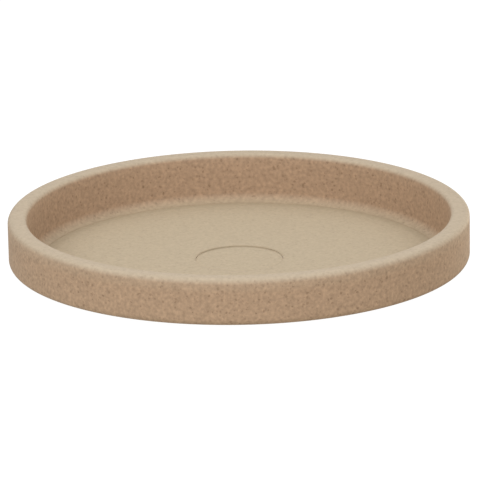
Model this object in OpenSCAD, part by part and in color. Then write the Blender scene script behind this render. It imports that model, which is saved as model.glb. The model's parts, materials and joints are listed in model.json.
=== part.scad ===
// Round plant saucer: a moulded dish with a broad hollow rim, a plug in the middle
// of its floor with a gasket under it, and rubber pads that it stands on.
// Millimetres, +Z up. The origin is on the axis, in the plane that the pads stand on.

/* [Dish] */
// Diameter over the rim
outer_d = 300; // [260:5:400]
// Depth from the rim to the level floor
dish_depth = 30.6; // [28:0.2:45]
// How far the outer wall's lower edge hangs below the floor
skirt_drop = 0.8; // [0:0.1:1.2]
// Thickness of the floor
floor_t = 2.8; // [2.6:0.1:3.1]
// Width of the floor's outer ring, which falls towards the wall
fall_w = 30; // [15:1:45]
// How far that ring falls
floor_fall = 0.6; // [0.2:0.1:1]
// Drop from the foot of the inner fillet to the floor
floor_step = 0.2; // [0.2:0.1:1]
// Radius between the inner wall and the floor
fillet_r = 5.8; // [4:0.1:9]
// How far the inner wall leans in, from the rim to the floor
wall_lean = 2.2; // [1:0.2:5]
// How far the outer wall draws in, from the rim to its lower edge
skirt_taper = 0.3; // [0:0.1:1]

/* [Rim] */
// Width of the rim across its top
rim_w = 12.3; // [11:0.1:16]
// Rounding of the rim's outer edge
rim_out_r = 4; // [2:0.5:5]
// Rounding of the rim's inner edge
rim_in_r = 3.2; // [1:0.2:4]
// Rounding of the outer wall's lower edge
skirt_edge_r = 4; // [1:0.5:4]

/* [Underside] */
// Thickness of the inner wall and of the rim's top
shell_t = 3.2; // [2.5:0.1:3.5]
// Thickness of the outer wall
skirt_t = 4.4; // [4.2:0.1:4.6]
// Cells that hollow out the rim from below
cell_count = 30; // [12:2:48]
// Thickness of the webs between the cells
web_t = 2.4; // [1.5:0.1:4]
// Width of the ribs under the floor
rib_w = 1.6; // [1:0.1:3]
// Depth of the ribs, and of the rings around the pads
rib_h = 1.2; // [0.8:0.1:1.8]

/* [Drain plug] */
// Diameter of the recess that the plug lies in
plug_d = 57; // [44:1:80]
// How far the plug's face lies below the floor
plug_sink = 0.55; // [0.3:0.05:0.8]
// Thickness of the plug's flange
flange_t = 1.5; // [1.2:0.1:1.8]
// Thickness of the gasket
gasket_t = 0.8; // [0.6:0.1:1.2]
// Diameter of the drain hole
drain_d = 26; // [20:1:28]
// Thickness of the seat around the drain hole
seat_t = 1.4; // [1.2:0.1:1.7]
// Gap around the plug's flange and its spigot
plug_gap = 0.25; // [0.2:0.05:0.4]

/* [Foot pads] */
// Number of pads
pad_count = 6; // [4:1:8]
// Diameter of a pad
pad_d = 22; // [16:1:26]
// Thickness of a pad
pad_t = 3; // [3:0.25:5]
// Distance from the dish's outer edge in to the middle of a pad
pad_inset = 38; // [34:1:60]

/* [Hidden] */
$fn = 192;
// Steps in the arc of a rounded corner
arc_steps = 8;
// Overlap that joins an added form to the wall it grows from
overlap = 0.4;
// How far a cut runs past the face that it opens
overcut = 1;
// Rounding of small edges
edge_r = 0.3;
// Wall around the plug's recess, and wall of the plug's hollow spigot
hub_wall = 3.5;
spigot_wall = 3;
// Room between a pad and its ring
pad_gap = 0.2;

outer_r = outer_d / 2;
base_z = pad_t;
floor_z = base_z + floor_t;
gutter_z = floor_z - floor_fall;
fillet_z = gutter_z + floor_step;
rim_z = floor_z + dish_depth;
skirt_z = floor_z - skirt_drop;

// Radii of the inner wall: at the rim, where its line meets the fillet's foot, and outside its root
mouth_r = outer_r - rim_w;
wall_foot_r = mouth_r - wall_lean;
floor_r = wall_foot_r - fillet_r;
fall_r = floor_r - fall_w;
base_r = wall_foot_r + shell_t / 2;

// Levels of the plug's pieces, from its face down to the hub under its seat
plug_z = floor_z - plug_sink;
flange_z = plug_z - flange_t;
seat_z = flange_z - gasket_t;
hub_z = seat_z - seat_t;
spigot_z = hub_z + edge_r;
finger_cup_z = flange_z - edge_r;

recess_r = plug_d / 2;
flange_r = recess_r - plug_gap;
hub_r = recess_r + hub_wall;
drain_r = drain_d / 2;
spigot_r = drain_r - plug_gap;
finger_cup_r = spigot_r - spigot_wall;

pad_circle_r = outer_r - pad_inset;
pad_ring_in_r = pad_d / 2 + pad_gap;
pad_ring_out_r = pad_ring_in_r + rib_w;
rib_z = base_z - rib_h;

stone_tan = [0.71, 0.60, 0.48];
pad_grey = [0.20, 0.20, 0.20];
gasket_grey = [0.32, 0.31, 0.30];

function pad_name(i) = str("foot_pad_", i);
function unit(v) = v / norm(v);

// Points of the arc that rounds the corner at b, between a and c, to radius r
function corner_arc(a, b, c, r) =
    let (
        u = unit(a - b),
        v = unit(c - b),
        half = acos(u * v) / 2,
        centre = b + unit(u + v) * r / sin(half),
        start = b + u * r / tan(half) - centre,
        end = b + v * r / tan(half) - centre,
        from = atan2(start.y, start.x),
        sweep = (atan2(end.y, end.x) - from + 540) % 360 - 180
    )
    [for (i = [0:arc_steps]) let (t = from + sweep * i / arc_steps) centre + r * [cos(t), sin(t)]];

// Outline through corners given as [radius from the axis, height, rounding]
function rounded(corners) =
    let (n = len(corners), at = [for (c = corners) [c[0], c[1]]])
    [for (i = [0:n - 1]) each corners[i][2] > 0
        ? corner_arc(at[(i + n - 1) % n], at[i], at[(i + 1) % n], corners[i][2])
        : [at[i]]];

// Ring turned about the axis from such corners
module turned(corners, angle = 360) {
    rotate_extrude(angle = angle) polygon(rounded(corners));
}

// Copies of a form, evenly spaced around the axis
module around(count, first = 0) {
    for (i = [0:count - 1]) rotate(first + i * 360 / count) children();
}

// The dish before its rim is hollowed: hub, base, outer wall, rim, inner wall, floor, plug recess
module dish_blank() {
    hub_edge_r = 0.8;
    base_edge_r = 1;
    turned([
        [drain_r, hub_z, edge_r],
        [hub_r, hub_z, hub_edge_r],
        [hub_r, base_z, edge_r],
        [base_r, base_z, base_edge_r],
        [base_r, skirt_z, edge_r],
        [outer_r - skirt_taper, skirt_z, skirt_edge_r],
        [outer_r, rim_z, rim_out_r],
        [mouth_r, rim_z, rim_in_r],
        [wall_foot_r, fillet_z, fillet_r],
        [floor_r, fillet_z, 0],
        [floor_r, gutter_z, 0],
        [fall_r, floor_z, 0],
        [recess_r, floor_z, edge_r],
        [recess_r, seat_z, 0],
        [drain_r, seat_z, edge_r]
    ]);
}

// One cell of the hollow rim, open below
module rim_cell() {
    cell_edge_r = 1.2;
    deck_z = rim_z - shell_t;
    mouth_z = skirt_z - overcut;
    web_angle = 2 * asin(web_t / 2 / (mouth_r + shell_t));
    cell_angle = 360 / cell_count - web_angle;
    rotate(-cell_angle / 2) turned([
        [wall_foot_r + shell_t, mouth_z, 0],
        [outer_r - skirt_taper - skirt_t, mouth_z, 0],
        [outer_r - skirt_t, deck_z, cell_edge_r],
        [mouth_r + shell_t, deck_z, cell_edge_r]
    ], cell_angle);
}

// Rib under the floor, from the hub out to a radius
module floor_rib(end_r) {
    start_r = hub_r - hub_wall / 2;
    translate([start_r, -rib_w / 2, rib_z]) cube([end_r - start_r, rib_w, rib_h + overlap]);
}

// Ring under the floor that a pad sits in
module pad_ring() {
    translate([pad_circle_r, 0, rib_z]) difference() {
        cylinder(r = pad_ring_out_r, h = rib_h + overlap);
        translate([0, 0, -overcut]) cylinder(r = pad_ring_in_r, h = rib_h + overcut);
    }
}

module saucer_dish() {
    short_rib_r = pad_circle_r - pad_ring_out_r + overlap;
    long_rib_r = base_r - 2 * rib_w;
    color(stone_tan) {
        difference() {
            dish_blank();
            around(cell_count) rim_cell();
        }
        around(pad_count) pad_ring();
        around(pad_count) floor_rib(short_rib_r);
        around(pad_count, 180 / pad_count) floor_rib(long_rib_r);
    }
}

// Flat disc with a spigot below it, hollowed from below so that a finger can push it out
module drain_plug() {
    cup_edge_r = 0.8;
    color(stone_tan) turned([
        [0, finger_cup_z, 0],
        [finger_cup_r, finger_cup_z, cup_edge_r],
        [finger_cup_r, spigot_z, edge_r],
        [spigot_r, spigot_z, edge_r],
        [spigot_r, flange_z, 0],
        [flange_r, flange_z, 0],
        [flange_r, plug_z, edge_r],
        [0, plug_z, 0]
    ]);
}

// Soft ring between the plug's flange and its seat
module plug_gasket() {
    gasket_in_r = spigot_r + 0.1;
    gasket_out_r = recess_r - 4;
    gasket_edge_r = gasket_t / 4;
    color(gasket_grey) turned([
        [gasket_in_r, seat_z, gasket_edge_r],
        [gasket_out_r, seat_z, gasket_edge_r],
        [gasket_out_r, flange_z, gasket_edge_r],
        [gasket_in_r, flange_z, gasket_edge_r]
    ]);
}

// Rubber pad, stuck to the underside of the floor inside its ring
module foot_pad(i) {
    pad_draft = 0.6;
    pad_edge_r = 0.8;
    color(pad_grey) rotate((i - 1) * 360 / pad_count) translate([pad_circle_r, 0, 0]) turned([
        [0, 0, 0],
        [pad_d / 2 - pad_draft, 0, pad_edge_r],
        [pad_d / 2, base_z, 0],
        [0, base_z, 0]
    ]);
}

saucer_dish();
drain_plug();
plug_gasket();
for (i = [1:pad_count]) foot_pad(i);
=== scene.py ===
# %% [markdown]
# # A moulded plant saucer
# The saucer is one heavy moulding of stone-filled plastic: a flat floor, a wall that leans out of a
# soft fillet, and a broad flat rim that is hollow underneath. A plug lies in the middle of the floor.
# Almost everything on it is turned about one axis, so this lesson is about turning: a few corners
# and their roundings go in, and Geometry Nodes turn them into a finished ring.

# %% Load the fixed frame
import json
import math

import bmesh
import bpy
from mathutils import Matrix, Vector


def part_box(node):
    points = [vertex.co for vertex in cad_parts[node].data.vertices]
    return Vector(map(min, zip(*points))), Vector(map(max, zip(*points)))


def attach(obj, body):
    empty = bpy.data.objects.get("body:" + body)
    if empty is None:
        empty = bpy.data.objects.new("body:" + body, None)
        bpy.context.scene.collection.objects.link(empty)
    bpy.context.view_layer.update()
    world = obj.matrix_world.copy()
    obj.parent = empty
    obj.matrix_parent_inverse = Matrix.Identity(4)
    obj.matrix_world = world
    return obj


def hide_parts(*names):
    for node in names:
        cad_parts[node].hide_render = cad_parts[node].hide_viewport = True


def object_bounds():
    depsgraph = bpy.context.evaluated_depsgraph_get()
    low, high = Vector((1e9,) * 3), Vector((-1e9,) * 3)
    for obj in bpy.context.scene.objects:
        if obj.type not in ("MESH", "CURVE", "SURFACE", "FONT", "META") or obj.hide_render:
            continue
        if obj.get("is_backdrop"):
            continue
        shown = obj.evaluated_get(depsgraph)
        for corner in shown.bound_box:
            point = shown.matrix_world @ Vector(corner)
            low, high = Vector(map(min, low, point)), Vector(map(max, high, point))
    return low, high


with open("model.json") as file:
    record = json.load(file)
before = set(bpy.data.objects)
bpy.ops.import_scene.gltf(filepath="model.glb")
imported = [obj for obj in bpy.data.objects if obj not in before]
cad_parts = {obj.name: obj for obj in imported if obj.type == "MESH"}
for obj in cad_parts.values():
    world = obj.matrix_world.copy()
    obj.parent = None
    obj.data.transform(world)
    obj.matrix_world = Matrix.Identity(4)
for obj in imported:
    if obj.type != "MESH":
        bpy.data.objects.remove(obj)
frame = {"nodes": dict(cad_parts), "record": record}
cad_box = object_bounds()
scene = bpy.context.scene
# Blender works in metres
MM = 0.001
print("CAD nodes:", sorted(frame["nodes"]))

# %% [markdown]
# ## Measures
# The frame already holds every piece at its real size. Heights and radii that a node shows are read
# from it, and only what lies inside a node, such as the roundings, is written down here.

# %% Read heights and radii from the frame


def reach(node):
    """Largest distance of a node's points from the saucer's axis."""
    return max(math.hypot(v.co.x, v.co.y) for v in frame["nodes"][node].data.vertices)


mounts = {m["name"]: m for m in frame["record"]["mounts"]}
hub_z, rim_z = (corner.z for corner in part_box("saucer_dish"))
floor_z = mounts["pot_seat"]["pos_m"][2]
skirt_drop = 0.8 * MM
skirt_z = floor_z - skirt_drop
spigot_z, plug_z = (corner.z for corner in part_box("drain_plug"))
flange_r = reach("drain_plug")
seat_z, flange_z = (corner.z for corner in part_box("plug_gasket"))
pad_low, pad_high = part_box("foot_pad_1")
base_z = pad_high.z
pad_circle_r = (pad_low.x + pad_high.x) / 2
pad_r = (pad_high.x - pad_low.x) / 2
pad_count = sum(name.startswith("foot_pad") for name in frame["nodes"])

# The outer wall leans out up to the rim, whose rounding takes away the last hundredths
rim_out_r = 4 * MM
skirt_taper = 0.3 * MM
outer_r = reach("saucer_dish") + skirt_taper * rim_out_r / (rim_z - skirt_z)

# From the rim inwards: its top, the leaning wall and the fillet at the wall's foot
rim_w = 12.3 * MM
wall_lean = 2.2 * MM
fillet_r = 5.8 * MM
mouth_r = outer_r - rim_w
wall_foot_r = mouth_r - wall_lean
floor_r = wall_foot_r - fillet_r
print(f"dish {2 * outer_r / MM:.1f} mm across, {(rim_z - floor_z) / MM:.1f} mm deep, {pad_count} pads")

# %% [markdown]
# ## Camera
# The photograph looks down on the saucer by about sixteen degrees from far away with a long lens:
# the near and far halves of the rim are almost the same size. It is also turned by a degree, so the
# left side hangs a little. The camera comes first, because everything later is judged through it.

# %% Aim a long lens from the front
IMAGE_PX = 480
SENSOR_MM = 36
view_elevation = math.radians(16.5)
view_roll = math.radians(-1.02)
view_distance = 50 * outer_r
px_per_m = 1540.5
# Where the middle of the wall's height, on the axis, lies in the photograph
wall_middle_px = Vector((239.0, 236.2))

wall_middle = Vector((0, 0, (skirt_z + rim_z) / 2))
backwards = Vector((0, -math.cos(view_elevation), math.sin(view_elevation)))
upwards = Vector((0, math.sin(view_elevation), math.cos(view_elevation)))
turn = Matrix.Rotation(view_roll, 4, backwards)
image_right = turn @ Vector((1, 0, 0))
image_up = turn @ upwards
off_centre = (wall_middle_px - Vector((IMAGE_PX / 2, IMAGE_PX / 2))) / px_per_m
aim = wall_middle - off_centre.x * image_right + off_centre.y * image_up

camera = bpy.data.objects.new("photo_camera", bpy.data.cameras.new("photo_camera"))
camera.data.sensor_width = SENSOR_MM
camera.data.lens = px_per_m * view_distance * SENSOR_MM / IMAGE_PX
camera.matrix_world = Matrix.Translation(aim + view_distance * backwards) @ Matrix(
    (image_right, image_up, backwards)
).transposed().to_4x4()
scene.collection.objects.link(camera)
scene.camera = camera
print(f"lens {camera.data.lens:.0f} mm at {view_distance:.1f} m")

# %% [markdown]
# ## One function for every node
# Trees of nodes get long in a script, so one small function adds a node: settings are its menu
# choices, and an input is either a value or the socket that feeds it. Colours are written as they
# look on a screen, and a second function turns them into the linear light that Blender works in.

# %% Helpers for node trees and colours


def add(tree, kind, inputs=None, **settings):
    """New node in a tree, with its settings made and its inputs set or linked."""
    node = tree.nodes.new(kind)
    for name, value in settings.items():
        setattr(node, name, value)
    for key, value in (inputs or {}).items():
        if isinstance(value, bpy.types.NodeSocket):
            tree.links.new(value, node.inputs[key])
        else:
            node.inputs[key].default_value = value
    return node


def linear(hex_colour):
    """Linear RGBA of an sRGB colour written as six hex digits."""
    parts = [int(hex_colour[i:i + 2], 16) / 255 for i in (0, 2, 4)]
    return [c / 12.92 if c <= 0.04045 else ((c + 0.055) / 1.055) ** 2.4 for c in parts] + [1.0]


print(f"a grey of 808080 gives back {linear('808080')[0]:.2f} of the light")

# %% [markdown]
# ## The stone-filled moulding
# The saucer is polypropylene loaded with crushed stone and pressed in a steel mould. Its walls show
# the filling: a tan ground with fine mottling and dark mineral flecks a millimetre or two across. The
# faces that look up are paler and show weaker grain: partly worn skin, partly painted top light and
# sheen. The attribute facing_up, which the turning tree below stores, tells the two apart.

# %% Start the stone material


def grain_scale(size):
    """Scale of a pattern whose marks are about one size apart."""
    return 1 / size


# Crushed stone pressed in polypropylene gives the eye a dull, sandy face with dark chips in it
composite = bpy.data.materials.new("stone_filled_polypropylene")
composite.use_nodes = True
stone = composite.node_tree
stone.nodes.clear()
place = add(stone, "ShaderNodeTexCoord").outputs["Object"]
facing_up = add(stone, "ShaderNodeAttribute", attribute_name="facing_up").outputs["Fac"]
along = add(stone, "ShaderNodeSeparateXYZ", {"Vector": place}).outputs
height = along["Z"]
flat = add(stone, "ShaderNodeVectorMath", {
    0: place, 1: (1, 1, 0)}, operation="MULTIPLY").outputs["Vector"]
from_axis = add(stone, "ShaderNodeVectorMath", {0: flat}, operation="LENGTH").outputs["Value"]
print("stone reads", place.name, "coordinates and", facing_up.node.attribute_name)

# %% [markdown]
# ### Pale skin: wear and painted top light
# In the dish the pale skin follows the floor and gives out in the fillet. Hands have worn the rim, so
# there it runs on over both roundings and fades a little way down the outer wall. The paleness is partly
# this wear and partly painted top light and sheen on the faces that look up. A painted mask could say
# the same, but a rule from the height, the radius and the slope stays right at any size.

# %% Share of pale skin, worn and painted as lit from above
rim_zone_low = rim_z - 10 * MM
rim_zone_high = rim_z - 5 * MM
skin_fade = 1 * MM
fillet_paleness = 0.8
wall_paleness = 0.2
on_rim = add(stone, "ShaderNodeMapRange", {
    "Value": height, "From Min": rim_zone_low, "From Max": rim_zone_high}).outputs["Result"]
most = add(stone, "ShaderNodeMapRange", {
    "Value": from_axis, "From Min": floor_r - skin_fade, "From Max": floor_r,
    "To Min": 1.0, "To Max": fillet_paleness})
upward = add(stone, "ShaderNodeMath", {0: facing_up, 1: 0.0}, operation="MAXIMUM")
skyward = add(stone, "ShaderNodeMath", {0: upward.outputs["Value"], 1: 1.5}, operation="POWER")
in_dish = add(stone, "ShaderNodeMath", {
    0: skyward.outputs["Value"], 1: most.outputs["Result"]}, operation="MULTIPLY")
outside = add(stone, "ShaderNodeMapRange", {
    "Value": from_axis, "From Min": outer_r - 2 * skin_fade, "From Max": outer_r - skin_fade,
    "To Max": wall_paleness})
rubbed_and_lit = add(stone, "ShaderNodeMapRange", {
    "Value": facing_up, "From Min": 0.05, "From Max": 0.8, "To Min": outside.outputs["Result"]})
# Share of pale skin: partly wear, partly painted top light and sheen on faces that look up
worn_and_lit = add(stone, "ShaderNodeMix", {
    "Factor": on_rim, "A": in_dish.outputs["Value"], "B": rubbed_and_lit.outputs["Result"]}).outputs["Result"]
print(f"rubbed rim from {rim_zone_low / MM:.1f} mm up, pale floor out to {floor_r / MM:.1f} mm")

# %% [markdown]
# ### Ground colours
# Under the pale skin the moulding is a warm tan. The pale skin is a pale sand that holds painted top
# light and sheen as well as wear. It is a touch cooler on the rim than on the floor, and it shows little
# more than a third of the grain. Colours could be painted on the points, but mixing them by the share
# of pale skin keeps every edge between them soft.

# %% Tan walls and pale faces
wall_tan = linear("a78b71")
# Floor and rim sand: the worn skin's colour with painted top light and sheen in it
floor_sand = linear("b0a087")
rim_sand = linear("b0a08a")
grain_left = 0.38
pale = add(stone, "ShaderNodeMix", {
    "Factor": on_rim, "A": floor_sand, "B": rim_sand}, data_type="RGBA").outputs["Result"]
ground = add(stone, "ShaderNodeMix", {
    "Factor": worn_and_lit, "A": wall_tan, "B": pale}, data_type="RGBA").outputs["Result"]
grain_show = add(stone, "ShaderNodeMapRange", {
    "Value": worn_and_lit, "To Min": 1.0, "To Max": grain_left}).outputs["Result"]
print(f"bleached skin keeps {grain_left:.0%} of the grain")

# %% [markdown]
# ### Mottling
# Between the chips the filling lies thicker and thinner, and the ground is lighter and darker by up to a
# fifth over about two millimetres. Noise is the pattern for that, because it has no edges and no rows.

# %% Mottled ground
mottle_size = 2.2 * MM
mottle_depth = 0.2
mottle = add(stone, "ShaderNodeTexNoise", {
    "Vector": place, "Scale": grain_scale(mottle_size), "Detail": 2.0}).outputs["Fac"]
swing = add(stone, "ShaderNodeMapRange", {
    "Value": mottle, "From Min": 0.25, "From Max": 0.75,
    "To Min": -mottle_depth, "To Max": mottle_depth}).outputs["Result"]
shade = add(stone, "ShaderNodeMath", {
    0: swing, 1: grain_show, 2: 1.0}, operation="MULTIPLY_ADD").outputs["Value"]
mottled = add(stone, "ShaderNodeVectorMath", {
    0: ground, "Scale": shade}, operation="SCALE").outputs["Vector"]
print(f"mottling of {mottle_size / MM:.1f} mm, up to {mottle_depth:.0%} lighter and darker")

# %% [markdown]
# ### Flecks
# The dark flecks are chips of stone that show through the skin. Small meshes on the surface would be far
# too many, so they are the cells of a Voronoi pattern: each has a size and a strength of its own, and
# noise bends its outline, because crushed stone is never round.

# %% Bent cells for the flecks
fleck_spacing = 2.7 * MM
drift_size = 1.3 * MM
drift_reach = 1.6 * MM
drift = add(stone, "ShaderNodeTexNoise", {
    "Vector": place, "Scale": grain_scale(drift_size), "Detail": 1.0}).outputs["Color"]
drift_both_ways = add(stone, "ShaderNodeVectorMath", {
    0: drift, 1: (0.5, 0.5, 0.5)}, operation="SUBTRACT").outputs["Vector"]
bent = add(stone, "ShaderNodeVectorMath", {
    0: drift_both_ways, 1: (drift_reach,) * 3, 2: place}, operation="MULTIPLY_ADD").outputs["Vector"]
cells = add(stone, "ShaderNodeTexVoronoi", {"Vector": bent, "Scale": grain_scale(fleck_spacing)})
print(f"one fleck for about every {fleck_spacing / MM:.1f} mm each way")

# %% Mineral flecks
# A fleck's radius as a share of the spacing, and how much of the ground it hides
smallest, largest = 0.22, 0.48
faintest, darkest = 0.03, 0.42
chip_brown = linear("5d452f")
chance = add(stone, "ShaderNodeSeparateColor", {"Color": cells.outputs["Color"]}).outputs
fleck_r = add(stone, "ShaderNodeMapRange", {
    "Value": chance["Red"], "To Min": smallest, "To Max": largest})
strength = add(stone, "ShaderNodeMapRange", {
    "Value": chance["Green"], "To Min": faintest, "To Max": darkest})
nearness = add(stone, "ShaderNodeMath", {
    0: cells.outputs["Distance"], 1: fleck_r.outputs["Result"]}, operation="DIVIDE").outputs["Value"]
fleck = add(stone, "ShaderNodeMapRange", {
    "Value": nearness, "From Min": 0.5, "To Min": 1.0, "To Max": 0.0}, interpolation_type="SMOOTHSTEP")
dark = add(stone, "ShaderNodeMath", {
    0: fleck.outputs["Result"], 1: strength.outputs["Result"]}, operation="MULTIPLY").outputs["Value"]
dark_shown = add(stone, "ShaderNodeMath", {
    0: dark, 1: grain_show}, operation="MULTIPLY").outputs["Value"]
flecked = add(stone, "ShaderNodeMix", {
    "Factor": dark_shown, "A": mottled, "B": chip_brown}, data_type="RGBA").outputs["Result"]
fleck_sizes = [2 * part * fleck_spacing / MM for part in (smallest, largest)]
print(f"flecks {fleck_sizes[0]:.1f} to {fleck_sizes[1]:.1f} mm across")

# %% [markdown]
# ### Painted shade
# The floor is painted darker in a soft band along its edge, at the foot of the wall, where the wall's
# shade falls. The joint around the plug is painted darker at its back, where its upright side is in
# shade, with a narrow band on both sides. A painted mask would do, but the shade follows the distance
# from the axis and the way back, so a few ramps are enough.

# %% Painted shade along the floor's edge
edge_shade_width = 8 * MM
edge_shade_end = 1 * MM
edge_shade = 0.42
# Painted shade: the floor darkens over its last millimetres towards the wall's foot
to_edge = add(stone, "ShaderNodeMapRange", {
    "Value": from_axis, "From Min": floor_r - edge_shade_width, "From Max": floor_r, "To Max": edge_shade})
past_edge = add(stone, "ShaderNodeMapRange", {
    "Value": from_axis, "From Min": floor_r, "From Max": floor_r + edge_shade_end,
    "To Min": 1.0, "To Max": 0.0})
print(f"dirt over the last {edge_shade_width / MM:.0f} mm of the floor")

# %% Painted shade at the back of the plug's joint
joint_shade = 0.65
joint_shade_near = 0.4 * MM
joint_shade_far = 2.2 * MM
# How far behind the axis the joint's painted shade is at its darkest
back_shade_reach = 0.7 * flange_r
from_joint = add(stone, "ShaderNodeMath", {
    0: from_axis, 1: flange_r}, operation="SUBTRACT").outputs["Value"]
near_joint = add(stone, "ShaderNodeMath", {0: from_joint}, operation="ABSOLUTE").outputs["Value"]
# Painted shade: the joint darkens towards its back, where its upright side is in shade
toward_back = add(stone, "ShaderNodeMapRange", {
    "Value": along["Y"], "From Max": back_shade_reach}).outputs["Result"]
beside_joint = add(stone, "ShaderNodeMapRange", {
    "Value": near_joint, "From Min": joint_shade_near, "From Max": joint_shade_far,
    "To Min": joint_shade, "To Max": 0.0})
at_back = add(stone, "ShaderNodeMath", {
    0: beside_joint.outputs["Result"], 1: toward_back}, operation="MULTIPLY").outputs["Value"]
print(f"dirt up to {joint_shade_far / MM:.1f} mm from the joint at {flange_r / MM:.1f} mm")

# %% Skin with painted shade
# Brown of the painted shade at the floor's edge and at the back of the joint
shade_brown = linear("99896f")
unshaded_below = base_z + 1 * MM
bands = add(stone, "ShaderNodeMath", {
    0: to_edge.outputs["Result"], 1: past_edge.outputs["Result"], 2: at_back}, operation="MULTIPLY_ADD")
above_base = add(stone, "ShaderNodeMath", {
    0: height, 1: unshaded_below}, operation="GREATER_THAN").outputs["Value"]
painted_shade = add(stone, "ShaderNodeMath", {
    0: bands.outputs["Value"], 1: above_base}, operation="MULTIPLY").outputs["Value"]
with_painted_shade = add(stone, "ShaderNodeMix", {
    "Factor": painted_shade, "A": flecked, "B": shade_brown}, data_type="RGBA").outputs["Result"]
print(f"no dirt on the underside, below {unshaded_below / MM:.1f} mm")

# %% [markdown]
# ### Painted light in the joint
# Inside the joint, the upright sides are painted pale, as if lit: pale in front, and browner at the back,
# which is painted shade. This painted light fills the narrow gap, so the joint shows as a thin line and
# not as a black one. A colour laid over the two sides does it.

# %% Painted light in the plug's joint
joint_light_cover = 0.8
joint_light_near = 0.3 * MM
joint_light_far = 0.5 * MM
lit_joint_colour = linear("d8cbb5")
shaded_joint_colour = linear("b4a58d")
# Painted light on the joint's upright sides, browner towards the back as painted shade
in_joint = add(stone, "ShaderNodeMapRange", {
    "Value": near_joint, "From Min": joint_light_near, "From Max": joint_light_far,
    "To Min": above_base, "To Max": 0.0})
upright = add(stone, "ShaderNodeMapRange", {
    "Value": facing_up, "From Min": 0.3, "From Max": 0.9, "To Min": joint_light_cover, "To Max": 0.0})
joint_light = add(stone, "ShaderNodeMath", {
    0: in_joint.outputs["Result"], 1: upright.outputs["Result"]}, operation="MULTIPLY").outputs["Value"]
joint_light_colour = add(stone, "ShaderNodeMix", {
    "Factor": toward_back, "A": lit_joint_colour, "B": shaded_joint_colour}, data_type="RGBA").outputs["Result"]
joint_lit = add(stone, "ShaderNodeMix", {
    "Factor": joint_light, "A": with_painted_shade, "B": joint_light_colour}, data_type="RGBA").outputs["Result"]
print(f"dust covers {joint_light_cover:.0%} of the joint's sides")

# %% [markdown]
# ### Skin
# The grain stands a few hundredths of a millimetre proud, and its high points are worn a little
# smoother. Filled plastic is dull: rough, with the index of common plastics and half their usual shine.
# Such a fine relief is left to a bump, because real displacement would need millions of faces.

# %% Bump, roughness and shader
grain_size = 1.4 * MM
grain_depth = 0.1 * MM
grain = add(stone, "ShaderNodeTexNoise", {
    "Vector": place, "Scale": grain_scale(grain_size), "Detail": 2.0}).outputs["Fac"]
relief = add(stone, "ShaderNodeBump", {
    "Height": grain, "Strength": 0.2, "Distance": grain_depth}).outputs["Normal"]
roughness = add(stone, "ShaderNodeMapRange", {
    "Value": grain, "From Min": 0.3, "From Max": 0.7, "To Min": 0.68, "To Max": 0.6}).outputs["Result"]
skin = add(stone, "ShaderNodeBsdfPrincipled", {
    "Base Color": joint_lit, "Roughness": roughness, "IOR": 1.5, "Specular IOR Level": 0.25,
    "Normal": relief})
add(stone, "ShaderNodeOutputMaterial", {"Surface": skin.outputs["BSDF"]})
print(f"{composite.name}: {len(stone.nodes)} nodes")

# %% [markdown]
# ## Turning a section
# A lathe could be made with the Screw modifier or by spinning in mesh code. Here a node tree is the
# lathe, because one tree then serves the dish, the plug and the pad rings. Every tree starts with
# named inputs and ends with real geometry in one material, so two small functions do that.

# %% Start and end of a tree


def start_tree(name, sockets):
    """Empty Geometry Nodes tree with a geometry input, the named inputs and a geometry output."""
    tree = bpy.data.node_groups.new(name, "GeometryNodeTree")
    tree.interface.new_socket("Geometry", in_out="INPUT", socket_type="NodeSocketGeometry")
    for socket_name, kind in sockets.items():
        tree.interface.new_socket(socket_name, in_out="INPUT", socket_type=kind)
    tree.interface.new_socket("Geometry", in_out="OUTPUT", socket_type="NodeSocketGeometry")
    return tree, add(tree, "NodeGroupInput").outputs


def end_tree(tree, geometry, material):
    """Last nodes of a tree: real geometry in one material."""
    real = add(tree, "GeometryNodeRealizeInstances", {"Geometry": geometry}).outputs["Geometry"]
    painted = add(tree, "GeometryNodeSetMaterial", {"Geometry": real, "Material": material})
    add(tree, "NodeGroupOutput", {"Geometry": painted.outputs["Geometry"]})


lathe, given = start_tree("turned_section", {
    "Steps around": "NodeSocketInt", "Ring spacing": "NodeSocketFloat", "Arc step": "NodeSocketFloat",
    "Closed": "NodeSocketInt", "Material": "NodeSocketMaterial"})
print("the lathe takes", [socket.name for socket in given if socket.name])

# %% [markdown]
# ### Rounded outline
# The section comes in as a line of corners, each with a rounding of its own. Fillet Curve draws the
# arcs, with more points on larger ones. Subdivide Curve then adds points along the flats, so that their
# rings lie close enough for even shading.

# %% Round the corners and divide the flats
rounding = add(lathe, "GeometryNodeInputNamedAttribute", {"Name": "rounding"}).outputs["Attribute"]
arc_parts = add(lathe, "ShaderNodeMath", {0: rounding, 1: given["Arc step"]}, operation="DIVIDE")
arc_count = add(lathe, "ShaderNodeMath", {0: arc_parts.outputs["Value"], 1: 2.0}, operation="ADD")
line = add(lathe, "GeometryNodeMeshToCurve", {"Mesh": given["Geometry"]}).outputs["Curve"]
arcs = add(lathe, "GeometryNodeFilletCurve", {
    "Curve": line, "Count": arc_count.outputs["Value"], "Radius": rounding}, mode="POLY").outputs["Curve"]
here = add(lathe, "GeometryNodeInputPosition").outputs["Position"]
following = add(lathe, "GeometryNodeOffsetPointInCurve", {"Offset": 1}).outputs["Point Index"]
there = add(lathe, "GeometryNodeSampleIndex", {
    "Geometry": arcs, "Value": here, "Index": following}, data_type="FLOAT_VECTOR").outputs["Value"]
span = add(lathe, "ShaderNodeVectorMath", {0: here, 1: there}, operation="DISTANCE").outputs["Value"]
cuts = add(lathe, "ShaderNodeMath", {
    0: span, 1: given["Ring spacing"]}, operation="DIVIDE").outputs["Value"]
outline = add(lathe, "GeometryNodeSubdivideCurve", {"Curve": arcs, "Cuts": cuts}).outputs["Curve"]
print(f"{len(lathe.nodes)} nodes draw the outline")

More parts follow.
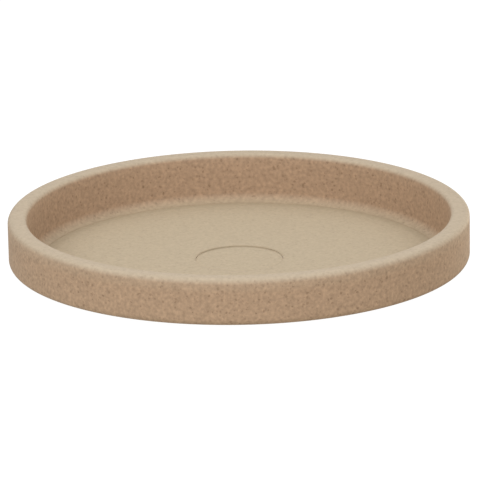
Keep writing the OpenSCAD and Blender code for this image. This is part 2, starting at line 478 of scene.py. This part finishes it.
# %% [markdown]
# ### Wrapping
# A grid gets one row for each point of the outline and one column for each step around. Each of its
# points then moves to its row's point, turned about the axis by its column. The first and last columns
# meet, and so do the poles of a section that ends on the axis, so they are sewn together.

# %% Wrap a grid around the axis
sewing_reach = 0.001 * MM
size = add(lathe, "GeometryNodeAttributeDomainSize", {"Geometry": outline}, component="CURVE")
point_count = size.outputs["Point Count"]
rows = add(lathe, "FunctionNodeIntegerMath", {0: point_count, 1: given["Closed"]}).outputs["Value"]
columns = add(lathe, "FunctionNodeIntegerMath", {0: given["Steps around"], 1: 1}).outputs["Value"]
grid = add(lathe, "GeometryNodeMeshGrid", {"Vertices X": rows, "Vertices Y": columns}).outputs["Mesh"]
index = add(lathe, "GeometryNodeInputIndex").outputs["Index"]
row = add(lathe, "FunctionNodeIntegerMath", {
    0: index, 1: columns}, operation="DIVIDE_FLOOR").outputs["Value"]
column = add(lathe, "FunctionNodeIntegerMath", {
    0: index, 1: columns}, operation="MODULO").outputs["Value"]
ring = add(lathe, "FunctionNodeIntegerMath", {
    0: row, 1: point_count}, operation="MODULO").outputs["Value"]
point = add(lathe, "GeometryNodeSampleIndex", {
    "Geometry": outline, "Value": here, "Index": ring}, data_type="FLOAT_VECTOR").outputs["Value"]
share = add(lathe, "ShaderNodeMath", {0: column, 1: given["Steps around"]}, operation="DIVIDE")
angle = add(lathe, "ShaderNodeMath", {0: share.outputs["Value"], 1: math.tau}, operation="MULTIPLY")
turned = add(lathe, "ShaderNodeVectorRotate", {
    "Vector": point, "Angle": angle.outputs["Value"]}, rotation_type="Z_AXIS").outputs["Vector"]
placed = add(lathe, "GeometryNodeSetPosition", {"Geometry": grid, "Position": turned}).outputs["Geometry"]
sewn = add(lathe, "GeometryNodeMergeByDistance", {
    "Geometry": placed, "Distance": sewing_reach}).outputs["Geometry"]
# Sections run anticlockwise, which leaves the wrapped grid inside out
outwards = add(lathe, "GeometryNodeFlipFaces", {"Mesh": sewn}).outputs["Mesh"]
print(f"{len(lathe.nodes)} nodes with the wrapping")

# %% [markdown]
# ### Finish of the turned skin
# The stone material needs to know which faces look up, so the tree stores the height of each point's
# normal. Then the skin is shaded smooth, and real corners, which bend by more than forty degrees, stay
# sharp.

# %% Mark, smooth and end the lathe
sharp_bend = math.radians(40)
normal = add(lathe, "GeometryNodeInputNormal").outputs["Normal"]
lift = add(lathe, "ShaderNodeSeparateXYZ", {"Vector": normal}).outputs["Z"]
marked = add(lathe, "GeometryNodeStoreNamedAttribute", {
    "Geometry": outwards, "Name": "facing_up", "Value": lift}, data_type="FLOAT", domain="POINT")
smooth = add(lathe, "GeometryNodeSetShadeSmooth", {"Geometry": marked.outputs["Geometry"]})
bend = add(lathe, "GeometryNodeInputMeshEdgeAngle").outputs["Unsigned Angle"]
sharp = add(lathe, "ShaderNodeMath", {0: bend, 1: sharp_bend}, operation="GREATER_THAN").outputs["Value"]
crisp = add(lathe, "GeometryNodeSetShadeSmooth", {
    "Geometry": smooth.outputs["Geometry"], "Selection": sharp, "Shade Smooth": False}, domain="EDGE")
end_tree(lathe, crisp.outputs["Geometry"], given["Material"])
print(f"the lathe has {len(lathe.nodes)} nodes")

# %% [markdown]
# ## From a tree to a plain mesh
# A modifier would leave the tree live on the piece. The saucer's pieces are finished goods, so each tree
# is run once on a helper object, and only the mesh that it made is kept. The second function hands the
# corners of a section to the lathe: a line of points, with their roundings as an attribute.

# %% Run a tree and turn a section
ring_spacing = 5 * MM
arc_step = 0.5 * MM


def through_tree(mesh, tree, values):
    """Plain mesh that a tree makes from a mesh, with the tree's inputs set by their names."""
    piece = bpy.data.objects.new(mesh.name, mesh)
    scene.collection.objects.link(piece)
    modifier = piece.modifiers.new(tree.name, "NODES")
    modifier.node_group = tree
    for item in tree.interface.items_tree:
        if item.in_out == "INPUT" and item.name in values:
            modifier[item.identifier] = values[item.name]
    bpy.context.view_layer.update()
    depsgraph = bpy.context.evaluated_depsgraph_get()
    result = bpy.data.meshes.new_from_object(piece.evaluated_get(depsgraph), depsgraph=depsgraph)
    bpy.data.objects.remove(piece)
    result.materials.clear()
    result.materials.append(values["Material"])
    print(f"{mesh.name} through {tree.name}: {len(result.polygons)} faces")
    return result


def turned_mesh(name, corners, material, closed=True, steps_around=384):
    """Mesh turned from corners (radius, height, rounding), going round the section one way."""
    count = len(corners)
    links = [(i, (i + 1) % count) for i in range(count if closed else count - 1)]
    section = bpy.data.meshes.new(name)
    section.from_pydata([(r, 0, z) for r, z, _ in corners], links, [])
    roundings = section.attributes.new("rounding", "FLOAT", "POINT")
    roundings.data.foreach_set("value", [rounding for _, _, rounding in corners])
    return through_tree(section, lathe, {
        "Steps around": steps_around, "Ring spacing": ring_spacing, "Arc step": arc_step,
        "Closed": int(closed), "Material": material})


print(f"rings up to {ring_spacing / MM:.0f} mm apart on flats, arcs in steps near {arc_step / MM} mm")

# %% [markdown]
# ## The dish
# One section makes the whole dish. It runs from the hub under the drain hole along the underside, up
# and down the hollow of the rim, around the outer wall and the rim, and back over the floor, whose
# outer ring falls a little towards a low step at the wall.

# %% Radii and heights of the dish's section
small_edge = 0.3 * MM
joint_edge = 0.1 * MM
hub_edge = 0.8 * MM
base_edge = 1 * MM
skirt_edge = 4 * MM
rim_in_r = 3.2 * MM
shell_t = 3.2 * MM
skirt_t = 4.4 * MM
hub_wall = 3.5 * MM
plug_gap = 0.25 * MM
drain_r = 13 * MM
recess_r = flange_r + plug_gap
hub_r = recess_r + hub_wall
base_r = wall_foot_r + shell_t / 2

# The hollow under the rim
cell_in_low = wall_foot_r + shell_t
cell_in_high = mouth_r + shell_t
cell_out_low = outer_r - skirt_taper - skirt_t
cell_out_high = outer_r - skirt_t
deck_z = rim_z - shell_t
cell_edge = 1.2 * MM

# The floor's outer ring and its step
fall_w = 30 * MM
floor_fall = 0.6 * MM
floor_step = 0.2 * MM
fall_r = floor_r - fall_w
gutter_z = floor_z - floor_fall
fillet_z = gutter_z + floor_step
step_edge = floor_step / 2
print(f"hollow of {(cell_out_low - cell_in_low) / MM:.1f} mm under a rim of {rim_w / MM:.1f} mm")

# %% [markdown]
# ### One turn
# Seen with the axis on the left, the corners run anticlockwise, each as radius, height and rounding.
# Cutting the hollow and the recess out of a solid would give the same form, but Boolean cuts leave
# ragged faces.

# %% Turn the dish
dish_mesh = turned_mesh("dish_skin", [
    (drain_r, hub_z, small_edge),
    (hub_r, hub_z, hub_edge),
    (hub_r, base_z, small_edge),
    (base_r, base_z, base_edge),
    (base_r, skirt_z, small_edge),
    (cell_in_low, skirt_z, small_edge),
    (cell_in_high, deck_z, cell_edge),
    (cell_out_high, deck_z, cell_edge),
    (cell_out_low, skirt_z, small_edge),
    (outer_r - skirt_taper, skirt_z, skirt_edge),
    (outer_r, rim_z, rim_out_r),
    (mouth_r, rim_z, rim_in_r),
    (wall_foot_r, fillet_z, fillet_r),
    (floor_r, fillet_z, step_edge),
    (floor_r, gutter_z, step_edge),
    (fall_r, floor_z, 0),
    (recess_r, floor_z, joint_edge),
    (recess_r, seat_z, 0),
    (drain_r, seat_z, small_edge),
], composite)

# %% [markdown]
# ## Repeating a form around the axis
# The webs in the hollow rim, the ribs under the floor and the rings that hold the pads all repeat
# evenly. An Array modifier with an offset object would do, but a second small tree needs no helper: it
# takes a single form and sets copies of it around the axis.

# %% Tree that repeats a form
carousel, wanted = start_tree("around_the_axis", {
    "Count": "NodeSocketInt", "First angle": "NodeSocketFloat", "Material": "NodeSocketMaterial"})
stations = add(carousel, "GeometryNodePoints", {"Count": wanted["Count"]}).outputs["Points"]
station = add(carousel, "GeometryNodeInputIndex").outputs["Index"]
step = add(carousel, "ShaderNodeMath", {
    0: math.tau, 1: wanted["Count"]}, operation="DIVIDE").outputs["Value"]
bearing = add(carousel, "ShaderNodeMath", {
    0: station, 1: step, 2: wanted["First angle"]}, operation="MULTIPLY_ADD").outputs["Value"]
swivel = add(carousel, "ShaderNodeCombineXYZ", {"Z": bearing}).outputs["Vector"]
copies = add(carousel, "GeometryNodeInstanceOnPoints", {
    "Points": stations, "Instance": wanted["Geometry"], "Rotation": swivel}).outputs["Instances"]
end_tree(carousel, copies, wanted["Material"])
print(f"the carousel has {len(carousel.nodes)} nodes")


def repeated_mesh(mesh, count, first_angle=0.0):
    """Mesh of copies of a stone form, evenly spaced around the axis."""
    return through_tree(mesh, carousel, {
        "Count": count, "First angle": first_angle, "Material": composite})


# %% [markdown]
# ## Webs
# Underneath, webs tie the outer wall to the inner one across the hollow rim. A web is a flat plate with
# broken edges, so it is drawn once in mesh code and repeated. It is moulded in one with the dish, so its
# edges end a little way inside the dish's skin.

# %% Webs across the hollow rim
cell_count = 30
web_t = 2.4 * MM
web_edge = 0.2 * MM
root = 0.3 * MM


def plate(name, corners, thickness, bevel):
    """Upright plate on the XZ plane through points (radius, height), with its long edges broken."""
    form = bmesh.new()
    face = form.faces.new([form.verts.new((r, -thickness / 2, z)) for r, z in corners])
    swept = bmesh.ops.extrude_face_region(form, geom=[face])
    moved = [v for v in swept["geom"] if isinstance(v, bmesh.types.BMVert)]
    bmesh.ops.translate(form, verts=moved, vec=(0, thickness, 0))
    bmesh.ops.recalc_face_normals(form, faces=form.faces)
    long_edges = [e for e in form.edges if abs(e.verts[0].co.y - e.verts[1].co.y) < thickness / 2]
    bmesh.ops.bevel(form, geom=long_edges, offset=bevel, segments=2, profile=0.5, affect="EDGES")
    mesh = bpy.data.meshes.new(name)
    form.to_mesh(mesh)
    form.free()
    return mesh


web = plate("rim_web", [
    (cell_in_low - root, skirt_z), (cell_out_low + root, skirt_z),
    (cell_out_high + root, deck_z + root), (cell_in_high - root, deck_z + root)], web_t, web_edge)
webs = repeated_mesh(web, cell_count, math.pi / cell_count)

# %% [markdown]
# ## Ribs and pad rings
# Ribs stiffen the thin floor, and a low ring locates each pad. Every other rib runs out between two pads,
# and the rest stop at a pad's ring. The ribs are plates too, and a pad ring is turned on the same lathe
# as the dish and then moved out to where the first pad sits.

# %% Ribs under the floor and rings for the pads
rib_w = 1.6 * MM
rib_edge = 0.25 * MM
rib_h = 1.2 * MM
pad_gap = 0.2 * MM
rib_z = base_z - rib_h
rib_start = hub_r - hub_wall / 2
pad_ring_in_r = pad_r + pad_gap
pad_ring_out_r = pad_ring_in_r + rib_w


def rib_to(end_r):
    """Rib under the floor from the hub out to a radius."""
    corners = [(rib_start, rib_z), (end_r, rib_z), (end_r, base_z + root), (rib_start, base_z + root)]
    return plate("floor_rib", corners, rib_w, rib_edge)


short_ribs = repeated_mesh(rib_to(pad_circle_r - pad_ring_out_r + root), pad_count)
long_ribs = repeated_mesh(rib_to(base_r - 2 * rib_w), pad_count, math.pi / pad_count)
pad_ring = turned_mesh("pad_ring", [
    (pad_ring_in_r, rib_z, rib_edge),
    (pad_ring_out_r, rib_z, rib_edge),
    (pad_ring_out_r, base_z + root, 0),
    (pad_ring_in_r, base_z + root, 0),
], composite, steps_around=64)
pad_ring.transform(Matrix.Translation((pad_circle_r, 0, 0)))
pad_rings = repeated_mesh(pad_ring, pad_count)

# %% [markdown]
# ## One moulding
# The dish, its webs, ribs and rings came out of one mould, so they become one object. A Boolean union
# would also trim the hidden ends of the plates, but it leaves slivers that shade badly, so the meshes
# are only put together.

# %% Join the dish


def joined_piece(name, meshes):
    """One object made of several meshes in the first one's material."""
    joint = bmesh.new()
    for mesh in meshes:
        joint.from_mesh(mesh)
    result = bpy.data.meshes.new(name)
    joint.to_mesh(result)
    joint.free()
    result.materials.append(meshes[0].materials[0])
    piece = bpy.data.objects.new(name, result)
    scene.collection.objects.link(piece)
    print(f"{name}: {sum(len(p.vertices) - 2 for p in result.polygons)} triangles")
    return piece


dish = joined_piece("moulded_dish", [dish_mesh, webs, short_ribs, long_ribs, pad_rings])
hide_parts("saucer_dish")
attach(dish, "dish")

# %% [markdown]
# ## The drain plug
# The plug is the same moulding: a flat disc over a short hollow spigot. Its section starts and ends on
# the axis, so it stays open there and the poles are sewn together when the grid is wrapped.

# %% Turn the plug
spigot_wall = 3 * MM
cup_edge = 0.8 * MM
spigot_r = drain_r - plug_gap
finger_cup_r = spigot_r - spigot_wall
finger_cup_z = flange_z - small_edge
plug_mesh = turned_mesh("plug_skin", [
    (0, finger_cup_z, 0),
    (finger_cup_r, finger_cup_z, cup_edge),
    (finger_cup_r, spigot_z, small_edge),
    (spigot_r, spigot_z, small_edge),
    (spigot_r, flange_z, 0),
    (flange_r, flange_z, 0),
    (flange_r, plug_z, joint_edge),
    (0, plug_z, 0),
], composite, closed=False, steps_around=128)
plug = joined_piece("plug_disc", [plug_mesh])
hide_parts("drain_plug")
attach(plug, "plug")

# %% [markdown]
# ## Rubber
# The pads and the gasket keep their CAD shapes, which are right, and get a moulded rubber: dull, with a
# faint bloom in soft patches and a fine pebbled skin. The pads are nearly black, the gasket grey. Two
# materials could be built side by side, but only their colours differ, so one function makes both.

# %% Moulded rubber for the pads and the gasket
bloom_size = 9 * MM
pebble_size = 0.6 * MM
pebble_depth = 0.05 * MM


def moulded_rubber(name, body_hex, bloom_hex):
    """Dull rubber whose bloom lightens it in patches."""
    material = bpy.data.materials.new(name)
    material.use_nodes = True
    tree = material.node_tree
    tree.nodes.clear()
    spot = add(tree, "ShaderNodeTexCoord").outputs["Object"]
    haze = add(tree, "ShaderNodeTexNoise", {
        "Vector": spot, "Scale": grain_scale(bloom_size), "Detail": 4.0}).outputs["Fac"]
    colour = add(tree, "ShaderNodeMix", {
        "Factor": haze, "A": linear(body_hex), "B": linear(bloom_hex)}, data_type="RGBA").outputs["Result"]
    pebble = add(tree, "ShaderNodeTexNoise", {
        "Vector": spot, "Scale": grain_scale(pebble_size), "Detail": 1.0}).outputs["Fac"]
    bumps = add(tree, "ShaderNodeBump", {
        "Height": pebble, "Strength": 0.3, "Distance": pebble_depth}).outputs["Normal"]
    dullness = add(tree, "ShaderNodeMapRange", {
        "Value": haze, "To Min": 0.6, "To Max": 0.8}).outputs["Result"]
    shader = add(tree, "ShaderNodeBsdfPrincipled", {
        "Base Color": colour, "IOR": 1.52, "Roughness": dullness, "Normal": bumps})
    add(tree, "ShaderNodeOutputMaterial", {"Surface": shader.outputs["BSDF"]})
    return material


# Moulded EPDM gives the eye a near black that soaks up light, greyed where the bloom comes out
pad_rubber = moulded_rubber("moulded_epdm_rubber", "2b2a29", "3a3836")
# Moulded silicone gives the eye an even, soft grey with little shine
gasket_rubber = moulded_rubber("moulded_silicone_rubber", "504d4a", "5a5753")
for node_name, node in frame["nodes"].items():
    if node_name.startswith("foot_pad") or node_name == "plug_gasket":
        node.data.materials.clear()
        node.data.materials.append(gasket_rubber if node_name == "plug_gasket" else pad_rubber)
        print(node_name, "in", node.data.materials[0].name)

# %% [markdown]
# ## White table
# The photograph is a cut-out on pure white, with no shadow under the saucer. The table here is a
# glowing white sheet that only the camera sees, so it throws no light on the saucer, and from below
# the camera looks through it.

# %% White table
scene.view_settings.view_transform = "Standard"

table_half = 20.0
table_corners = [
    (x * table_half, y * table_half, 0) for x, y in ((-1, -1), (1, -1), (1, 1), (-1, 1))]
table_mesh = bpy.data.meshes.new("white_table")
table_mesh.from_pydata(table_corners, [], [(0, 1, 2, 3)])
table = bpy.data.objects.new("white_table", table_mesh)
scene.collection.objects.link(table)
table.visible_diffuse = False
table.visible_glossy = False
table.visible_shadow = False

# Opal acrylic lit from behind gives the eye an even white without an edge or a shadow
acrylic = bpy.data.materials.new("lit_acrylic")
acrylic.use_nodes = True
sheet = acrylic.node_tree
sheet.nodes.clear()
glow = add(sheet, "ShaderNodeBsdfPrincipled", {
    "Base Color": linear("303030"), "Roughness": 0.9,
    "Emission Color": linear("ffffff"), "Emission Strength": 1.0})
below = add(sheet, "ShaderNodeNewGeometry").outputs["Backfacing"]
clear = add(sheet, "ShaderNodeBsdfTransparent").outputs["BSDF"]
one_sided = add(sheet, "ShaderNodeMixShader", {0: below, 1: glow.outputs["BSDF"], 2: clear})
add(sheet, "ShaderNodeOutputMaterial", {"Surface": one_sided.outputs["Shader"]})
table_mesh.materials.append(acrylic)
table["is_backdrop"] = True
print(f"table of {2 * table_half:.0f} m in {acrylic.name}")

# %% [markdown]
# ## Room
# The light is soft and comes from all around. The room gives most of it: bright below, where a white
# table would throw it back, a little warmer and dimmer on the right, and dimmer above. A picture of a
# real room could light the scene too, but three mixes of soft greys say all that is needed.

# %% Room
room = bpy.data.worlds.new("white_room")
room.use_nodes = True
walls = room.node_tree
look = add(walls, "ShaderNodeTexCoord").outputs["Generated"]
heading = add(walls, "ShaderNodeSeparateXYZ", {"Vector": look}).outputs
to_right = add(walls, "ShaderNodeMapRange", {"Value": heading["X"], "From Min": -1.0}).outputs["Result"]
to_back = add(walls, "ShaderNodeMapRange", {"Value": heading["Y"], "From Min": -1.0}).outputs["Result"]
to_top = add(walls, "ShaderNodeMapRange", {
    "Value": heading["Z"], "From Min": -0.05, "From Max": 0.05}).outputs["Result"]
from_below = add(walls, "ShaderNodeMix", {
    "Factor": to_right, "A": linear("ebefeb"), "B": linear("bcb6a8")}, data_type="RGBA").outputs["Result"]
from_above = add(walls, "ShaderNodeMix", {
    "Factor": to_back, "A": linear("b6b6b6"), "B": linear("dadada")}, data_type="RGBA").outputs["Result"]
wall_colour = add(walls, "ShaderNodeMix", {
    "Factor": to_top, "A": from_below, "B": from_above}, data_type="RGBA").outputs["Result"]
walls.links.new(wall_colour, walls.nodes["Background"].inputs["Color"])
scene.world = room
print(f"{room.name}: {len(walls.nodes)} nodes")

# %% [markdown]
# ## Lamps
# Five wide lamps shape the rest of the light. The one behind the saucer gives the floor and the rim their
# pale sheen, and a low one at the back right catches only the right end of the outer wall. Each faces
# the saucer, and its size keeps its shadows soft.

# %% Lamps


def soft_lamp(name, width, depth, power, stand, tint="ffffff"):
    """Wide lamp that faces the middle of the saucer."""
    lamp = bpy.data.lights.new(name, "AREA")
    lamp.shape = "RECTANGLE"
    lamp.size = width
    lamp.size_y = depth
    lamp.energy = power
    lamp.color = linear(tint)[:3]
    holder = bpy.data.objects.new(name, lamp)
    holder.location = stand
    holder.rotation_euler = (wall_middle - Vector(stand)).to_track_quat("-Z", "Y").to_euler()
    scene.collection.objects.link(holder)
    print(f"{name}: {power} W at {(wall_middle - Vector(stand)).length:.1f} m")


soft_lamp("behind", width=2.0, depth=1.2, power=6.8, stand=(0, 0.8, 1.4))
soft_lamp("front_left", width=1.2, depth=1.2, power=15.1, stand=(-1.0, -0.9, 1.3))
soft_lamp("front_right", width=1.2, depth=1.2, power=11.6, stand=(1.0, -0.9, 1.3))
soft_lamp("low_front", width=1.6, depth=0.5, power=6.3, stand=(0, -1.8, 0.25))
soft_lamp("low_rear_right", width=0.8, depth=0.4, power=10.9, stand=(1.2, 1.4, 0), tint="fff6e0")

# %% [markdown]
# ## Finish
# The dressed saucer has to be as large as the CAD one.

# %% Compare the two boxes and finish
seen_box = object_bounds()
boxes = {"cad": [list(corner) for corner in cad_box], "visual": [list(corner) for corner in seen_box]}
for model, (low, high) in boxes.items():
    print(model, "size in mm:", [round((b - a) / MM, 2) for a, b in zip(low, high)])
